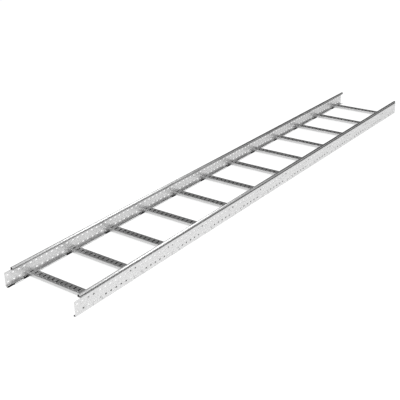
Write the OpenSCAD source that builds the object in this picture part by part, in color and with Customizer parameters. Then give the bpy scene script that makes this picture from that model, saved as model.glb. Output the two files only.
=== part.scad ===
// Cable ladder section: two roll-formed side rails joined by slotted rungs.
// The ladder lies flat on its rails. X runs along the ladder, Y across it and Z up,
// with the origin on the floor, midway along and midway across.
// The coupling end, which slips into the next section, is the one at -X.

/* [Ladder] */
// Length of the section
ladder_length = 3000; // [2900:50:6000]
// Width over the outer faces of the two side rails
ladder_width = 400; // [200:50:800]
// Distance between rung centres
rung_spacing = 250; // [240:5:260]
// Number of rungs
rung_count = 12; // [2:1:12]

/* [Side rail] */
// Height of a side rail
rail_height = 80; // [74:1:120]
// Sheet thickness of a side rail
rail_sheet = 1.5; // [1:0.1:2]
// Width of the top and bottom flanges, over the web
flange_width = 18; // [16:1:26]
// Height of the lip along the edge of each flange
lip_height = 10.5; // [6:0.5:12]
// Outer radius of the rail's bends
rail_bend = 3; // [2.6:0.1:4]

/* [Web slots] */
// Pitch of the web slots within a bay
slot_pitch = 30.5; // [26:0.5:31]
// Slots in each row between one rung and the next
slots_per_bay = 8; // [2:2:8]
// Height of the lower row above the rail's underside
slot_row_height = 20; // [19:1:26]
// Distance between the two rows
slot_row_gap = 32; // [24:1:33]
// Width of a web slot
slot_width = 7; // [5:0.5:8]
// End-to-end length of a web slot
slot_length = 11; // [9:0.5:14]

/* [Coupling end] */
// Length over which the top flange and the bottom lip are cut back
coupling_cut = 34; // [10:1:60]
// Depth by which the web's top edge is lowered over that length
coupling_drop = 12; // [6:0.5:16]

/* [Rung] */
// Width of a rung, along the ladder
rung_width = 41; // [32:1:46]
// Depth of a rung's side walls
rung_depth = 13; // [10:0.5:14]
// Sheet thickness of a rung
rung_sheet = 1.5; // [1:0.1:2]
// Outer radius of a rung's bends
rung_bend = 2.5; // [2.1:0.1:4]
// Height of the rung's top face above the rail's underside
rung_top = 27; // [26:1:60]
// Pitch of the rung slots, across the ladder
rung_slot_pitch = 25; // [12:1:40]
// Width of a rung slot
rung_slot_width = 7; // [5:0.5:9]
// End-to-end length of a rung slot
rung_slot_length = 25; // [14:0.5:27]

/* [Rung fixing] */
// Distance from the rung's centre to each fixing tab
tab_offset = 26.5; // [25:0.5:32]
// Height of a tab's middle above the rail's underside
tab_height = 10; // [9:0.5:14]
// Width of a tab and of the slit it passes through
tab_width = 4; // [3:0.5:6]
// Length of a tab, measured up the web
tab_length = 9; // [6:0.5:10]
// How far a tab stands out from the rail's outer face
tab_stand = 1.2; // [0.5:0.1:2]
// Gap between a tab and the edges of its slit
tab_gap = 0.2; // [0.1:0.05:0.4]

/* [Hidden] */
web_inner = ladder_width / 2 - rail_sheet;
rung_bottom = rung_top - rung_depth;
rung_x = [for (i = [0 : rung_count - 1]) (i - (rung_count - 1) / 2) * rung_spacing];
bay_x = [for (i = [0 : rung_count]) (i - rung_count / 2) * rung_spacing];
slot_steps = [for (i = [0 : slots_per_bay - 1]) (i - (slots_per_bay - 1) / 2) * slot_pitch];
slot_x = [for (bay = bay_x) for (step = slot_steps)
    if (abs(bay + step) < ladder_length / 2 - slot_length / 2 - rail_sheet) bay + step];
rung_slots_each_side = floor((web_inner - flange_width) / rung_slot_pitch);
ear_edge = tab_offset + tab_width / 2 + 4;
ear_foot = tab_height - tab_length / 2 - 1.5;
past = 1;

// Rectangle with its corner at the origin and all corners rounded.
module rounded_rectangle(width, height, radius) {
    translate([radius, 0]) square([width - 2 * radius, height]);
    translate([0, radius]) square([width, height - 2 * radius]);
    for (x = [radius, width - radius], y = [radius, height - radius])
        translate([x, y]) circle(r = radius, $fn = 48);
}

// Lipped channel: web at x = 0, flanges towards +x, lips turned back in at their edges.
module rail_outline() {
    difference() {
        rounded_rectangle(flange_width, rail_height, rail_bend);
        translate([rail_sheet, rail_sheet])
            rounded_rectangle(flange_width - 2 * rail_sheet, rail_height - 2 * rail_sheet,
                rail_bend - rail_sheet);
        translate([flange_width / 2, lip_height])
            square([flange_width, rail_height - 2 * lip_height]);
    }
}

// Slot with round ends, long along X, cut along Z from -depth / 2 to depth / 2.
module slot_cutter(length, width, depth) {
    linear_extrude(depth, center = true) {
        square([length - width, width], center = true);
        for (side = [-1, 1])
            translate([side * (length - width) / 2, 0]) circle(d = width, $fn = 32);
    }
}

// Two rows of slots along the web, which stands on edge at y = 0.
module web_slots() {
    for (x = slot_x, row = [0, 1])
        translate([x, 0, slot_row_height + row * slot_row_gap])
            rotate([90, 0, 0]) slot_cutter(slot_length, slot_width, 4 * rail_sheet);
}

// Slits in the web that the rungs' tabs pass through.
module tab_slits() {
    for (x = rung_x, side = [-1, 1])
        translate([x + side * tab_offset, 0, tab_height])
            cube([tab_width + 2 * tab_gap, 4 * rail_sheet, tab_length + 2 * tab_gap], center = true);
}

// What is cut away at the coupling end, so that it slips into the next rail.
module coupling_cuts() {
    start = -ladder_length / 2 - past;
    translate([start, -past, rail_height - coupling_drop])
        cube([coupling_cut + past, flange_width + 2 * past, coupling_drop + past]);
    translate([start, flange_width - rail_bend, -past])
        cube([coupling_cut + past, rail_bend + past, lip_height + 2 * past]);
}

// One side rail with its web's outer face at y = 0 and its flanges towards +y.
module side_rail() {
    difference() {
        rotate([90, 0, 90]) linear_extrude(ladder_length, center = true) rail_outline();
        web_slots();
        tab_slits();
        coupling_cuts();
    }
}

module side_rail_left() {
    color("silver") translate([0, ladder_width / 2, 0]) mirror([0, 1, 0]) side_rail();
}

module side_rail_right() {
    color("silver") translate([0, -ladder_width / 2, 0]) side_rail();
}

// Open-bottomed channel across the ladder, from one web to the other.
module rung_channel() {
    rotate([90, 0, 0]) linear_extrude(2 * web_inner, center = true) intersection() {
        translate([-rung_width / 2, rung_bottom]) square([rung_width, rung_depth]);
        difference() {
            translate([-rung_width / 2, rung_top - 2 * rung_depth])
                rounded_rectangle(rung_width, 2 * rung_depth, rung_bend);
            translate([rung_sheet - rung_width / 2, rung_top + rung_sheet - 2 * rung_depth])
                rounded_rectangle(rung_width - 2 * rung_sheet, 2 * (rung_depth - rung_sheet),
                    rung_bend - rung_sheet);
        }
    }
}

// Ear turned out from a side wall's end to lie against the web, with its tab.
module fixing_ear() {
    translate([rung_width / 2 - rung_sheet, web_inner - rung_sheet, ear_foot])
        cube([ear_edge - rung_width / 2 + rung_sheet, rung_sheet, rung_top - rung_bend - ear_foot]);
    translate([tab_offset - tab_width / 2, web_inner - rung_sheet, tab_height - tab_length / 2])
        cube([tab_width, rung_sheet + rail_sheet + tab_stand, tab_length]);
}

// One rung, centred on x = 0.
module rung() {
    difference() {
        rung_channel();
        for (i = [-rung_slots_each_side : rung_slots_each_side])
            translate([0, i * rung_slot_pitch, rung_top])
                slot_cutter(rung_slot_length, rung_slot_width, 4 * rung_sheet);
    }
    for (x_side = [0, 1], y_side = [0, 1])
        mirror([x_side, 0, 0]) mirror([0, y_side, 0]) fixing_ear();
}

// The rung of the given number, counted from the coupling end.
module rung_at(number) {
    color("gainsboro") translate([rung_x[number - 1], 0, 0]) rung();
}

side_rail_left();
side_rail_right();
rung_at(1);  // rung_01
rung_at(2);  // rung_02
rung_at(3);  // rung_03
rung_at(4);  // rung_04
rung_at(5);  // rung_05
rung_at(6);  // rung_06
rung_at(7);  // rung_07
rung_at(8);  // rung_08
rung_at(9);  // rung_09
rung_at(10);  // rung_10
rung_at(11);  // rung_11
rung_at(12);  // rung_12
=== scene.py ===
"""Dresses the cable ladder section: two perforated side rails joined by twelve slotted rungs.

Everything is in metres, in the CAD frame: X along the ladder, Y across it and Z up.
"""

import logging
import math
from dataclasses import dataclass, field
from enum import Enum

import bmesh
import bpy
from mathutils import Matrix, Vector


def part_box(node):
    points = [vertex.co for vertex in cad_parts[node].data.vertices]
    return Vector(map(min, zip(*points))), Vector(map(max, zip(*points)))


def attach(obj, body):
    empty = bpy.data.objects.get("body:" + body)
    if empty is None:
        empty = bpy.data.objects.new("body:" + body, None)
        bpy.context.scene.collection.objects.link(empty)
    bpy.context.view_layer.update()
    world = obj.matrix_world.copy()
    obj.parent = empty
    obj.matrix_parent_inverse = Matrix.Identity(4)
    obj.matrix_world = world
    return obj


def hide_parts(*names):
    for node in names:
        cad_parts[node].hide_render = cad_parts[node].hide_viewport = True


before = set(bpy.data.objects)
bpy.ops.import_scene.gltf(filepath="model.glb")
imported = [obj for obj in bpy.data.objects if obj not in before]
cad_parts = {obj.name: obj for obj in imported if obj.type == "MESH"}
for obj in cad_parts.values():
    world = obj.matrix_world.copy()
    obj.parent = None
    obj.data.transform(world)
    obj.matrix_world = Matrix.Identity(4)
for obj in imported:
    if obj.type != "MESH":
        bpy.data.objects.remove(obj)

MM_PER_M = 1000
# Sizes that several pieces share: the rails' outer faces, where the rolled edges and lips
# start and end along X, the sheet, and the steps of a quarter bend.
RAIL_OUTER = 0.200
EDGE_START = -1.466
EDGE_END = 1.500
SHEET = 0.0015
BEND_RADIUS = 0.003
BEND_STEPS = 6
# The rung's half width, the height of its underside and how far its inner pieces stop
# short of the webs.
RUNG_HALF = 0.0205
RUNG_BOTTOM = 0.014
RUNG_END_GAP = 0.020
BUMP_HEIGHT = 0.0002
log = logging.getLogger("cable_ladder")


class Slot(Enum):
    """Names for the record's two material slots; no piece in this script is given them."""

    RAIL = "rail_steel"
    RUNG = "rung_steel"


def linear_colour(code: str) -> tuple[float, float, float, float]:
    """Turns an sRGB hex colour into the linear colour that Blender's sockets take.

    Args:
        code: Six hex digits, such as "c8cbcd".

    Returns:
        Red, green, blue and an alpha of 1.
    """
    parts = [int(code[i : i + 2], 16) / 255 for i in (0, 2, 4)]
    red, green, blue = (
        part / 12.92 if part <= 0.04045 else ((part + 0.055) / 1.055) ** 2.4 for part in parts
    )
    return red, green, blue, 1.0


def add_node(
    tree: bpy.types.NodeTree,
    kind: str,
    values: dict[str | int, object] | None = None,
    links: dict[str | int, bpy.types.NodeSocket] | None = None,
    **settings: object,
) -> bpy.types.Node:
    """Adds a node with its settings, its unlinked inputs and the links into it.

    Args:
        tree: The node tree that gets the node.
        kind: The node's type, such as "ShaderNodeMix".
        values: Input values by socket name or index.
        links: Output sockets to link from, by the name or index of the input.
        settings: Properties of the node itself.

    Returns:
        The new node.
    """
    node = tree.nodes.new(kind)
    for name, value in settings.items():
        setattr(node, name, value)
    for name, value in (values or {}).items():
        node.inputs[name].default_value = value
    for name, socket in (links or {}).items():
        tree.links.new(socket, node.inputs[name])
    return node


def new_material(name: str) -> bpy.types.Material:
    """Makes an empty node material.

    Args:
        name: The material's name.

    Returns:
        The material, with no nodes in it.
    """
    material = bpy.data.materials.new(name)
    material.use_nodes = True
    material.node_tree.nodes.clear()
    return material


@dataclass(frozen=True)
class GalvanisedSheet:
    """Zinc-coated steel strip, roll formed.

    The zinc freezes into flat crystals, so its grey and its gloss change a little from one
    crystal to the next, and the rolls leave faint long lines along the strip. Real zinc is
    fully metallic; a lower value keeps the tone of the rails' webs even by choice of looks.
    """

    name: str
    pale: str = "d9d9d9"
    dull: str = "c8c8c8"
    roughness: float = 0.36
    roughness_spread: float = 0.07
    # A crystal is about 9 mm across, a cloud of them 14 times that, a roll line 1.6 mm.
    crystal_mm: float = 9.0
    cloud_crystals: float = 14.0
    cloud_share: float = 0.45
    line_mm: float = 1.6
    line_share: float = 0.5
    line_stretch: float = 0.02
    bump: float = 0.04
    metallic: float = 1.0
    # The range of crystal grey plus line height that the roughness is spread over.
    mixed_range: tuple[float, float] = (0.2, 1.1)

    def build(self) -> bpy.types.Material:
        """Builds the material.

        Returns:
            The finished material.
        """
        material = new_material(self.name)
        tree = material.node_tree
        where = add_node(tree, "ShaderNodeTexCoord")
        crystals = add_node(
            tree,
            "ShaderNodeTexVoronoi",
            {"Scale": MM_PER_M / self.crystal_mm, "Randomness": 1.0},
            {"Vector": where.outputs["Object"]},
        )
        along = add_node(
            tree,
            "ShaderNodeMapping",
            {"Scale": (self.line_stretch, 1.0, 1.0)},
            {"Vector": where.outputs["Object"]},
        )
        lines = add_node(
            tree,
            "ShaderNodeTexNoise",
            {"Scale": MM_PER_M / self.line_mm, "Detail": 2.0},
            {"Vector": along.outputs["Vector"]},
        )
        clouds = add_node(
            tree,
            "ShaderNodeTexNoise",
            {"Scale": MM_PER_M / (self.cloud_crystals * self.crystal_mm), "Detail": 3.0},
            {"Vector": where.outputs["Object"]},
        )
        tone = add_node(
            tree,
            "ShaderNodeMix",
            {"Factor": self.cloud_share},
            {"A": crystals.outputs["Color"], "B": clouds.outputs["Color"]},
            data_type="RGBA",
        )
        grey = add_node(tree, "ShaderNodeRGBToBW", links={"Color": tone.outputs["Result"]})
        colour = add_node(
            tree,
            "ShaderNodeMix",
            {"A": linear_colour(self.dull), "B": linear_colour(self.pale)},
            {"Factor": grey.outputs["Val"]},
            data_type="RGBA",
        )
        mixed = add_node(
            tree,
            "ShaderNodeMath",
            {1: self.line_share},
            {0: lines.outputs["Fac"], 2: grey.outputs["Val"]},
            operation="MULTIPLY_ADD",
        )
        gloss = add_node(
            tree,
            "ShaderNodeMapRange",
            {
                "From Min": self.mixed_range[0],
                "From Max": self.mixed_range[1],
                "To Min": self.roughness - self.roughness_spread / 2,
                "To Max": self.roughness + self.roughness_spread / 2,
            },
            {"Value": mixed.outputs["Value"]},
        )
        bump = add_node(
            tree,
            "ShaderNodeBump",
            {"Strength": self.bump, "Distance": BUMP_HEIGHT},
            {"Height": mixed.outputs["Value"]},
        )
        shader = add_node(
            tree,
            "ShaderNodeBsdfPrincipled",
            {"Metallic": self.metallic},
            {
                "Base Color": colour.outputs["Result"],
                "Roughness": gloss.outputs["Result"],
                "Normal": bump.outputs["Normal"],
            },
        )
        add_node(
            tree, "ShaderNodeOutputMaterial", links={"Surface": shader.outputs["BSDF"]}
        )
        return material


class Side(Enum):
    """The two side rails, with the sign of Y on their side."""

    LEFT = 1
    RIGHT = -1

    @property
    def label(self) -> str:
        """The side's name as pieces carry it."""
        return self.name.lower()

    @property
    def node(self) -> str:
        """The name of this rail's CAD node."""
        return f"side_rail_{self.label}"


def finish_piece(
    name: str, shape: bmesh.types.BMesh, finish: bpy.types.Material
) -> bpy.types.Object:
    """Turns a bmesh into a piece that rides on the ladder.

    Args:
        name: The piece's name.
        shape: Its mesh, which is freed.
        finish: Its material.

    Returns:
        The new object.
    """
    bmesh.ops.recalc_face_normals(shape, faces=shape.faces)
    mesh = bpy.data.meshes.new(name)
    shape.to_mesh(mesh)
    shape.free()
    mesh.materials.append(finish)
    piece = bpy.data.objects.new(name, mesh)
    bpy.context.scene.collection.objects.link(piece)
    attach(piece, "root")
    log.info("%s: %d faces", name, len(mesh.polygons))
    return piece


def sweep_along(
    shape: bmesh.types.BMesh, edges: list[bmesh.types.BMEdge], length: float
) -> None:
    """Extrudes a profile's edges along the ladder.

    Args:
        shape: The mesh that holds the profile.
        edges: The profile's edges.
        length: How far they go along X.
    """
    swept = bmesh.ops.extrude_edge_only(shape, edges=edges)
    moved = [item for item in swept["geom"] if isinstance(item, bmesh.types.BMVert)]
    bmesh.ops.translate(shape, verts=moved, vec=(length, 0, 0))


def add_box(
    shape: bmesh.types.BMesh,
    size: tuple[float, float, float],
    centre: tuple[float, float, float],
) -> None:
    """Adds a box to a mesh.

    Args:
        shape: The mesh that gets the box.
        size: Its sides along X, Y and Z.
        centre: Where its middle is.
    """
    made = bmesh.ops.create_cube(shape, size=1)["verts"]
    bmesh.ops.scale(shape, verts=made, vec=size)
    bmesh.ops.translate(shape, verts=made, vec=centre)


def soften_edges(shape: bmesh.types.BMesh, offset: float, segments: int) -> None:
    """Rounds every edge of a mesh.

    Args:
        shape: The mesh.
        offset: How far from the edge the rounding starts.
        segments: How many faces it has.
    """
    bmesh.ops.bevel(
        shape,
        geom=[*shape.edges],
        offset=offset,
        offset_type="OFFSET",
        affect="EDGES",
        segments=segments,
        profile=0.5,
        material=-1,
    )


@dataclass
class RailBody:
    """The web and bottom flange of a side rail, as the CAD node has them."""

    side: Side
    finish: bpy.types.Material
    web_top: float = 0.068
    flange_left: float = 0.010
    outer: float = RAIL_OUTER
    weld_distance: float = 1e-6

    def build(self) -> bpy.types.Object:
        """Copies the CAD node and cuts off what the rolled edge and the lips replace.

        Returns:
            The finished piece, which stands for the CAD node.
        """
        shape = bmesh.new()
        shape.from_mesh(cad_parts[self.side.node].data)
        bmesh.ops.remove_doubles(shape, verts=shape.verts, dist=self.weld_distance)
        sign = self.side.value
        cuts = (
            ((0, 0, self.web_top), (0, 0, 1)),
            ((0, sign * (self.outer - self.flange_left), 0), (0, -sign, 0)),
        )
        for place, normal in cuts:
            bmesh.ops.bisect_plane(
                shape,
                geom=[*shape.verts, *shape.edges, *shape.faces],
                plane_co=place,
                plane_no=normal,
                clear_outer=True,
            )
            rim = [edge for edge in shape.edges if edge.is_boundary]
            bmesh.ops.triangle_fill(shape, use_beauty=True, edges=rim)
        piece = finish_piece(f"rail_body_{self.side.label}", shape, self.finish)
        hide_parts(self.side.node)
        return piece


@dataclass
class RolledEdge:
    """The rail's top edge: a shoulder where the web turns in, and a hollow roll on it."""

    side: Side
    finish: bpy.types.Material
    start: float = EDGE_START
    end: float = EDGE_END
    outer: float = RAIL_OUTER
    sheet: float = SHEET
    shoulder_base: float = 0.068
    shoulder_bend: float = BEND_RADIUS
    shoulder_width: float = 0.011
    roll_inset: float = 0.0018
    roll_width: float = 0.0135
    roll_top: float = 0.0823
    roll_base: float = 0.0700
    roll_segments: int = 24

    def shoulder(self) -> bpy.types.Object:
        """Builds the bend in which the web's top turns in under the roll.

        Returns:
            The finished piece.
        """
        sign = self.side.value
        shape = bmesh.new()
        foot = shape.verts.new((self.start, sign * self.outer, self.shoulder_base))
        bmesh.ops.spin(
            shape,
            geom=[foot],
            cent=(self.start, sign * (self.outer - self.shoulder_bend), self.shoulder_base),
            axis=(1, 0, 0),
            angle=sign * math.pi / 2,
            steps=BEND_STEPS,
            use_duplicate=False,
        )
        shape.verts.ensure_lookup_table()
        top = max(shape.verts, key=lambda vert: (round(vert.co.z, 6), -sign * vert.co.y))
        inner = bmesh.ops.extrude_vert_indiv(shape, verts=[top])["verts"]
        bmesh.ops.translate(
            shape, verts=inner, vec=(0, -sign * (self.shoulder_width - self.shoulder_bend), 0)
        )
        sweep_along(shape, [*shape.edges], self.end - self.start)
        bmesh.ops.recalc_face_normals(shape, faces=shape.faces)
        bmesh.ops.solidify(shape, geom=[*shape.faces], thickness=self.sheet)
        return finish_piece(
            f"edge_shoulder_{self.side.label}", shape, self.finish
        )

    def roll(self) -> bpy.types.Object:
        """Builds the hollow roll.

        Returns:
            The finished piece.
        """
        sign = self.side.value
        shape = bmesh.new()
        ring = bmesh.ops.create_circle(shape, segments=self.roll_segments, radius=0.5)["verts"]
        bmesh.ops.rotate(shape, verts=ring, matrix=Matrix.Rotation(math.pi / 2, 3, "Y"))
        bmesh.ops.scale(
            shape, verts=ring, vec=(1, self.roll_width, self.roll_top - self.roll_base)
        )
        centre = (
            self.start,
            sign * (self.outer - self.roll_inset - self.roll_width / 2),
            (self.roll_top + self.roll_base) / 2,
        )
        bmesh.ops.translate(shape, verts=ring, vec=centre)
        sweep_along(shape, [*shape.edges], self.end - self.start)
        for face in shape.faces:
            face.smooth = True
        bmesh.ops.recalc_face_normals(shape, faces=shape.faces)
        bmesh.ops.solidify(shape, geom=[*shape.faces], thickness=self.sheet)
        return finish_piece(f"edge_roll_{self.side.label}", shape, self.finish)

    def build(self) -> None:
        """Builds the shoulder and the roll."""
        self.shoulder()
        self.roll()


@dataclass
class PaintedShadeLines:
    """Thin grey strips along the roll and the web's top.

    They are painted shade and painted reflection: the dark lines where the folds of the top edge
    lie in shade and mirror dark surroundings. The ladder has no such strips.
    """

    side: Side
    finish: bpy.types.Material
    start: float = EDGE_START
    end: float = EDGE_END
    outer: float = RAIL_OUTER
    depth: float = 0.0012
    rounding: float = 0.0003
    # For each painted shade line: its name, how far inside the web's outer face, its lower edge
    # and its height.
    shade_lines: tuple[tuple[str, float, float, float], ...] = (
        ("outer", 0.0021, 0.0738, 0.0024),
        ("inner", 0.0150, 0.0705, 0.0024),
        ("web", 0.0018, 0.0660, 0.0020),
    )

    def strip(self, name: str, face: float, base: float, height: float) -> bpy.types.Object:
        """Builds one strip.

        Args:
            name: Which painted shade line it is.
            face: How far its face lies inside the web's outer face.
            base: The height of its lower edge.
            height: How tall it is.

        Returns:
            The finished piece.
        """
        shape = bmesh.new()
        centre = (
            (self.start + self.end) / 2,
            self.side.value * (self.outer - face),
            base + height / 2,
        )
        add_box(shape, (self.end - self.start, self.depth, height), centre)
        soften_edges(shape, self.rounding, 2)
        return finish_piece(f"{name}_seam_{self.side.label}", shape, self.finish)

    def build(self) -> None:
        """Builds every painted shade line."""
        for name, face, base, height in self.shade_lines:
            self.strip(name, face, base, height)


@dataclass
class FlangeLips:
    """The inner part of the bottom flange and its up-turned lip, notched at every rung."""

    side: Side
    finish: bpy.types.Material
    start: float = EDGE_START
    end: float = EDGE_END
    outer: float = RAIL_OUTER
    sheet: float = SHEET
    flange: float = 0.018
    flange_left: float = 0.010
    lip: float = 0.0085
    bend: float = BEND_RADIUS
    notch: float = 0.042

    def strip(self, name: str, first: float, last: float) -> bpy.types.Object:
        """Builds the strip of one bay.

        Args:
            name: The piece's name.
            first: Where it starts along X.
            last: Where it ends.

        Returns:
            The finished piece.
        """
        sign = self.side.value
        shape = bmesh.new()
        foot = shape.verts.new((first, sign * (self.outer - self.flange_left), 0))
        turn = bmesh.ops.extrude_vert_indiv(shape, verts=[foot])["verts"]
        bmesh.ops.translate(
            shape, verts=turn, vec=(0, -sign * (self.flange - self.flange_left - self.bend), 0)
        )
        bmesh.ops.spin(
            shape,
            geom=turn,
            cent=(first, sign * (self.outer - self.flange + self.bend), self.bend),
            axis=(1, 0, 0),
            angle=-sign * math.pi / 2,
            steps=BEND_STEPS,
            use_duplicate=False,
        )
        shape.verts.ensure_lookup_table()
        top = max(shape.verts, key=lambda vert: vert.co.z)
        rise = bmesh.ops.extrude_vert_indiv(shape, verts=[top])["verts"]
        bmesh.ops.translate(shape, verts=rise, vec=(0, 0, self.lip - self.bend))
        sweep_along(shape, [*shape.edges], last - first)
        bmesh.ops.recalc_face_normals(shape, faces=shape.faces)
        bmesh.ops.solidify(shape, geom=[*shape.faces], thickness=self.sheet)
        return finish_piece(name, shape, self.finish)

    def build(self) -> None:
        """Builds one strip between each two notches."""
        rungs = sorted(
            (low.x + high.x) / 2
            for low, high in (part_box(node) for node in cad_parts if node.startswith("rung"))
        )
        starts = [self.start, *(place + self.notch for place in rungs)]
        ends = [*(place - self.notch for place in rungs), self.end]
        for number, (first, last) in enumerate(zip(starts, ends), 1):
            self.strip(f"lip_{self.side.label}_{number:02d}", first, last)


@dataclass
class CadPiece:
    """A CAD node that keeps its shape and gets a finish."""

    node: str
    finish: bpy.types.Material

    def dress(self) -> None:
        """Assigns the finish to every material slot of the node."""
        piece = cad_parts[self.node]
        if not piece.material_slots:
            piece.data.materials.append(self.finish)
        for place in piece.material_slots:
            place.material = self.finish
        log.info("%s: dressed", self.node)


@dataclass
class RungReturns:
    """The two flanges along a rung's underside that its side walls turn in to."""

    node: str
    finish: bpy.types.Material
    sheet: float = SHEET
    width: float = 0.0150
    half: float = RUNG_HALF
    base: float = RUNG_BOTTOM
    end_gap: float = RUNG_END_GAP

    def build(self) -> bpy.types.Object:
        """Builds both flanges as one piece.

        Returns:
            The finished piece.
        """
        low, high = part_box(self.node)
        middle = (low.x + high.x) / 2
        offset = self.half - self.sheet - self.width / 2
        reach = high.y - self.end_gap
        shape = bmesh.new()
        for sign in (-1, 1):
            centre = (middle + sign * offset, 0, self.base + self.sheet / 2)
            add_box(shape, (self.width, 2 * reach, self.sheet), centre)
        soften_edges(shape, self.sheet / 4, 1)
        return finish_piece(f"returns_{self.node}", shape, self.finish)


@dataclass
class TroughFloor:
    """A dark strip on the bottom flange, between the web and the lip.

    It stands for the shade in the trough. The ladder has no such strip.
    """

    side: Side
    finish: bpy.types.Material
    start: float = -1.499
    end: float = 1.499
    outer: float = 0.1982
    width: float = 0.0122
    base: float = SHEET
    depth: float = 0.0003

    def build(self) -> bpy.types.Object:
        """Builds the strip.

        Returns:
            The finished piece.
        """
        shape = bmesh.new()
        centre = (
            (self.start + self.end) / 2,
            self.side.value * (self.outer - self.width / 2),
            self.base + self.depth / 2,
        )
        add_box(shape, (self.end - self.start, self.width, self.depth), centre)
        return finish_piece(f"trough_floor_{self.side.label}", shape, self.finish)


@dataclass
class SlotShade:
    """A dark strip close under a rung's top face.

    It stands for the shade inside the rung, so that the slots look dark. The ladder has no
    such strip.
    """

    node: str
    finish: bpy.types.Material
    width: float = 0.0150
    depth: float = 0.0004
    base: float = 0.0250
    end_gap: float = RUNG_END_GAP

    def build(self) -> bpy.types.Object:
        """Builds the strip.

        Returns:
            The finished piece.
        """
        low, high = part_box(self.node)
        reach = high.y - self.end_gap
        shape = bmesh.new()
        centre = ((low.x + high.x) / 2, 0, self.base + self.depth / 2)
        add_box(shape, (self.width, 2 * reach, self.depth), centre)
        return finish_piece(f"shade_{self.node}", shape, self.finish)


@dataclass
class RollMouth:
    """A dark disc in the mouth of the roll at the coupling end.

    It stands for the shade inside the hollow roll. The ladder has no such disc.
    """

    side: Side
    finish: bpy.types.Material
    place: tuple[float, float, float] = (-1.4655, 0.19145, 0.07615)
    radius: float = 0.0052
    depth: float = 0.0020
    segments: int = 24

    def build(self) -> bpy.types.Object:
        """Builds the mouth.

        Returns:
            The finished piece.
        """
        shape = bmesh.new()
        made = bmesh.ops.create_cone(
            shape,
            cap_ends=True,
            cap_tris=False,
            segments=self.segments,
            radius1=self.radius,
            radius2=self.radius,
            depth=self.depth,
        )["verts"]
        bmesh.ops.rotate(
            shape, verts=made, cent=(0, 0, 0), matrix=Matrix.Rotation(math.pi / 2, 3, "Y")
        )
        along, across, above = self.place
        bmesh.ops.translate(shape, verts=made, vec=(along, self.side.value * across, above))
        return finish_piece(f"roll_mouth_{self.side.label}", shape, self.finish)


@dataclass(frozen=True)
class ShadedStrip:
    """Dark, dull steel for the strips that stand for shade and for dark lines.

    On the ladder these places are the same zinc-coated steel as the rest. The eye finds them
    dark because little light gets in or because they mirror something dark.
    """

    # The default finish paints the shade of the dark lines along the rolled edge; it is no
    # sheared edge of the strip.
    name: str = "painted_shade_strip"
    pale: str = "8c8c8c"
    dull: str = "6e6e6e"
    roughness: float = 0.5
    # A faint unevenness about 2 mm across.
    grain_mm: float = 2.0
    bump: float = 0.2

    def build(self) -> bpy.types.Material:
        """Builds the material.

        Returns:
            The finished material.
        """
        material = new_material(self.name)
        tree = material.node_tree
        where = add_node(tree, "ShaderNodeTexCoord")
        grain = add_node(
            tree,
            "ShaderNodeTexNoise",
            {"Scale": MM_PER_M / self.grain_mm, "Detail": 2.0},
            {"Vector": where.outputs["Object"]},
        )
        colour = add_node(
            tree,
            "ShaderNodeMix",
            {"A": linear_colour(self.dull), "B": linear_colour(self.pale)},
            {"Factor": grain.outputs["Fac"]},
            data_type="RGBA",
        )
        bump = add_node(
            tree,
            "ShaderNodeBump",
            {"Strength": self.bump, "Distance": BUMP_HEIGHT},
            {"Height": grain.outputs["Fac"]},
        )
        shader = add_node(
            tree,
            "ShaderNodeBsdfPrincipled",
            {"Metallic": 1.0, "Roughness": self.roughness},
            {"Base Color": colour.outputs["Result"], "Normal": bump.outputs["Normal"]},
        )
        add_node(
            tree, "ShaderNodeOutputMaterial", links={"Surface": shader.outputs["BSDF"]}
        )
        return material


@dataclass
class Ladder:
    """The whole section: the two side rails and the rungs between them."""

    rail_finish: GalvanisedSheet = field(
        default_factory=lambda: GalvanisedSheet(
            "galvanised_rail_strip", pale="cbcbcb", dull="bfbfbf", bump=0.02, metallic=0.5
        )
    )
    rung_finish: GalvanisedSheet = field(
        default_factory=lambda: GalvanisedSheet(
            "galvanised_rung_strip", pale="cfcfcf", dull="bebebe"
        )
    )
    roll_finish: GalvanisedSheet = field(
        default_factory=lambda: GalvanisedSheet(
            "galvanised_rolled_edge", pale="bcbcbc", dull="a4a4a4", bump=0.02
        )
    )

    def build(self) -> None:
        """Builds the rails' pieces and dresses the rungs."""
        rail, rung = self.rail_finish.build(), self.rung_finish.build()
        roll = self.roll_finish.build()
        # Grey painted shade for the dark lines along the rolled edge.
        edge = ShadedStrip().build()
        # Near-black painted shade for the roll mouths, the trough floors and the rungs' slots.
        inside = ShadedStrip("unlit_strip_inside", pale="262626", dull="161616").build()
        for side in Side:
            RailBody(side, rail).build()
            RolledEdge(side, roll).build()
            RollMouth(side, inside).build()
            # Painted shade lines along the rolled edge and the web's top.
            PaintedShadeLines(side, edge).build()
            FlangeLips(side, rail).build()
            TroughFloor(side, inside).build()
        for node in sorted(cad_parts):
            if node.startswith("rung"):
                CadPiece(node, rung).dress()
                RungReturns(node, rung).build()
                SlotShade(node, inside).build()
            else:
                CadPiece(node, rail).dress()


@dataclass(frozen=True)
class Lamp:
    """A square soft lamp, with its place, its side in metres and its power in watts."""

    name: str
    place: tuple[float, float, float]
    size: float
    power: float


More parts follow.
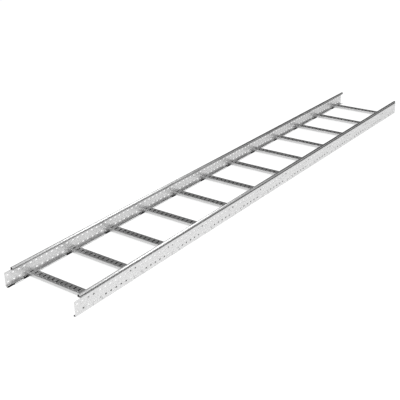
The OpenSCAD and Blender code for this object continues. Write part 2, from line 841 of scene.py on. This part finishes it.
@dataclass
class Studio:
    """A plain pale floor, soft lamps and the camera."""

    floor_size: float = 60.0
    floor_drop: float = 0.0005
    floor_colour: str = "f2f2f2"
    # What the camera, reflections and refractions see of the floor: a glow, and a matt part
    # that keeps the ladder's shadow.
    floor_glow: float = 0.93
    floor_matt: tuple[float, float, float, float] = (0.14, 0.14, 0.14, 1.0)
    camera_place: tuple[float, float, float] = (-3.2182, -2.0998, 1.6159)
    camera_turn: tuple[float, float, float] = (65.706, 1.297, -53.697)
    lens_mm: float = 69.376
    sensor_mm: float = 36.0
    farthest: float = 100.0
    sky_level: float = 0.95
    # Azimuth and elevation of each dark flag in degrees, and the light left by the cosine of
    # the angle to its middle.
    flags: tuple[tuple[float, float], ...] = ((62.0, 37.0), (0.0, 15.0))
    flag_levels: tuple[tuple[float, float], ...] = (
        (0.0, 1.0),
        (0.74, 0.88),
        (0.88, 0.36),
        (0.95, 0.15),
    )
    lamps: tuple[Lamp, ...] = (
        Lamp("key_lamp", (-4.5, -5.0, 4.5), 3.0, 250.0),
        Lamp("top_lamp", (-0.8, -0.4, 4.0), 3.0, 120.0),
    )

    def floor_material(self) -> bpy.types.Material:
        """Builds the floor's material, white in view and in reflections.

        Returns:
            The finished material.
        """
        material = new_material("studio_floor")
        tree = material.node_tree
        light_path = add_node(tree, "ShaderNodeLightPath")
        seen = add_node(
            tree,
            "ShaderNodeMath",
            links={
                0: light_path.outputs["Is Camera Ray"],
                1: light_path.outputs["Is Glossy Ray"],
            },
            operation="MAXIMUM",
        )
        shown = add_node(
            tree,
            "ShaderNodeMath",
            links={0: seen.outputs["Value"], 1: light_path.outputs["Is Transmission Ray"]},
            operation="MAXIMUM",
        )
        glow = add_node(tree, "ShaderNodeEmission", {"Strength": self.floor_glow})
        matt = add_node(tree, "ShaderNodeBsdfDiffuse", {"Color": self.floor_matt})
        bright = add_node(
            tree,
            "ShaderNodeAddShader",
            links={0: glow.outputs["Emission"], 1: matt.outputs["BSDF"]},
        )
        plain = add_node(
            tree, "ShaderNodeBsdfDiffuse", {"Color": linear_colour(self.floor_colour)}
        )
        surface = add_node(
            tree,
            "ShaderNodeMixShader",
            links={
                0: shown.outputs["Value"],
                1: plain.outputs["BSDF"],
                2: bright.outputs["Shader"],
            },
        )
        add_node(
            tree, "ShaderNodeOutputMaterial", links={"Surface": surface.outputs["Shader"]}
        )
        return material

    def lay_floor(self) -> None:
        """Lays the floor just under the ladder."""
        shape = bmesh.new()
        grid = bmesh.ops.create_grid(shape, x_segments=1, y_segments=1, size=self.floor_size / 2)
        bmesh.ops.translate(shape, verts=grid["verts"], vec=(0, 0, -self.floor_drop))
        mesh = bpy.data.meshes.new("studio_floor")
        shape.to_mesh(mesh)
        shape.free()
        floor = bpy.data.objects.new("studio_floor", mesh)
        floor.data.materials.append(self.floor_material())
        bpy.context.scene.collection.objects.link(floor)

    def flag_shade(
        self,
        tree: bpy.types.NodeTree,
        direction: bpy.types.NodeSocket,
        place: tuple[float, float],
    ) -> bpy.types.NodeSocket:
        """Gives how much light one flag leaves in each direction.

        Args:
            tree: The world's node tree.
            direction: The direction looked along.
            place: The flag's azimuth and elevation in degrees.

        Returns:
            The socket with the level, 1 away from the flag.
        """
        around, above = (math.radians(angle) for angle in place)
        flag = (
            math.cos(around) * math.cos(above),
            math.sin(around) * math.cos(above),
            math.sin(above),
        )
        nearness = add_node(
            tree, "ShaderNodeVectorMath", {1: flag}, {0: direction}, operation="DOT_PRODUCT"
        )
        ramp = add_node(tree, "ShaderNodeValToRGB", links={"Fac": nearness.outputs["Value"]})
        while len(ramp.color_ramp.elements) < len(self.flag_levels):
            ramp.color_ramp.elements.new(0.5)
        for element, (stop, level) in zip(ramp.color_ramp.elements, self.flag_levels):
            element.position = stop
            element.color = (level, level, level, 1.0)
        return ramp.outputs["Color"]

    def fill_world(self) -> None:
        """Surrounds the scene with even light, but for dark flags behind the ladder."""
        world = bpy.data.worlds.new("studio_world")
        world.use_nodes = True
        tree = world.node_tree
        tree.nodes.clear()
        where = add_node(tree, "ShaderNodeTexCoord")
        level = None
        for place in self.flags:
            shade = self.flag_shade(tree, where.outputs["Generated"], place)
            if level is None:
                level = shade
            else:
                level = add_node(
                    tree,
                    "ShaderNodeMath",
                    links={0: level, 1: shade},
                    operation="MULTIPLY",
                ).outputs["Value"]
        sky = add_node(
            tree, "ShaderNodeBackground", {"Strength": self.sky_level}, {"Color": level}
        )
        plain = add_node(
            tree, "ShaderNodeBackground", {"Color": (1.0, 1.0, 1.0, 1.0), "Strength": 1.0}
        )
        path = add_node(tree, "ShaderNodeLightPath")
        surround = add_node(
            tree,
            "ShaderNodeMixShader",
            links={
                0: path.outputs["Is Camera Ray"],
                1: sky.outputs["Background"],
                2: plain.outputs["Background"],
            },
        )
        add_node(
            tree, "ShaderNodeOutputWorld", links={"Surface": surround.outputs["Shader"]}
        )
        bpy.context.scene.world = world

    def hang_lamp(self, lamp: Lamp) -> None:
        """Hangs a lamp, aimed at the ladder's middle.

        Args:
            lamp: The lamp to hang.
        """
        data = bpy.data.lights.new(lamp.name, "AREA")
        data.size = lamp.size
        data.energy = lamp.power
        hung = bpy.data.objects.new(lamp.name, data)
        hung.location = lamp.place
        hung.rotation_euler = (-hung.location).to_track_quat("-Z", "Y").to_euler()
        bpy.context.scene.collection.objects.link(hung)

    def stand_camera(self) -> None:
        """Stands the camera beyond the coupling end, above the right rail."""
        data = bpy.data.cameras.new("studio_camera")
        data.lens = self.lens_mm
        data.sensor_width = self.sensor_mm
        data.clip_end = self.farthest
        camera = bpy.data.objects.new("studio_camera", data)
        camera.location = self.camera_place
        camera.rotation_euler = [math.radians(angle) for angle in self.camera_turn]
        bpy.context.scene.collection.objects.link(camera)
        bpy.context.scene.camera = camera

    def build(self) -> None:
        """Lays the floor, lights the scene and stands the camera."""
        self.stand_camera()
        self.lay_floor()
        self.fill_world()
        for lamp in self.lamps:
            self.hang_lamp(lamp)
        bpy.context.scene.view_settings.view_transform = "Standard"


def main() -> None:
    """Builds the scene."""
    logging.basicConfig(level=logging.INFO, format="%(message)s")
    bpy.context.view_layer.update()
    Studio().build()
    Ladder().build()


if __name__ == "__main__":
    main()
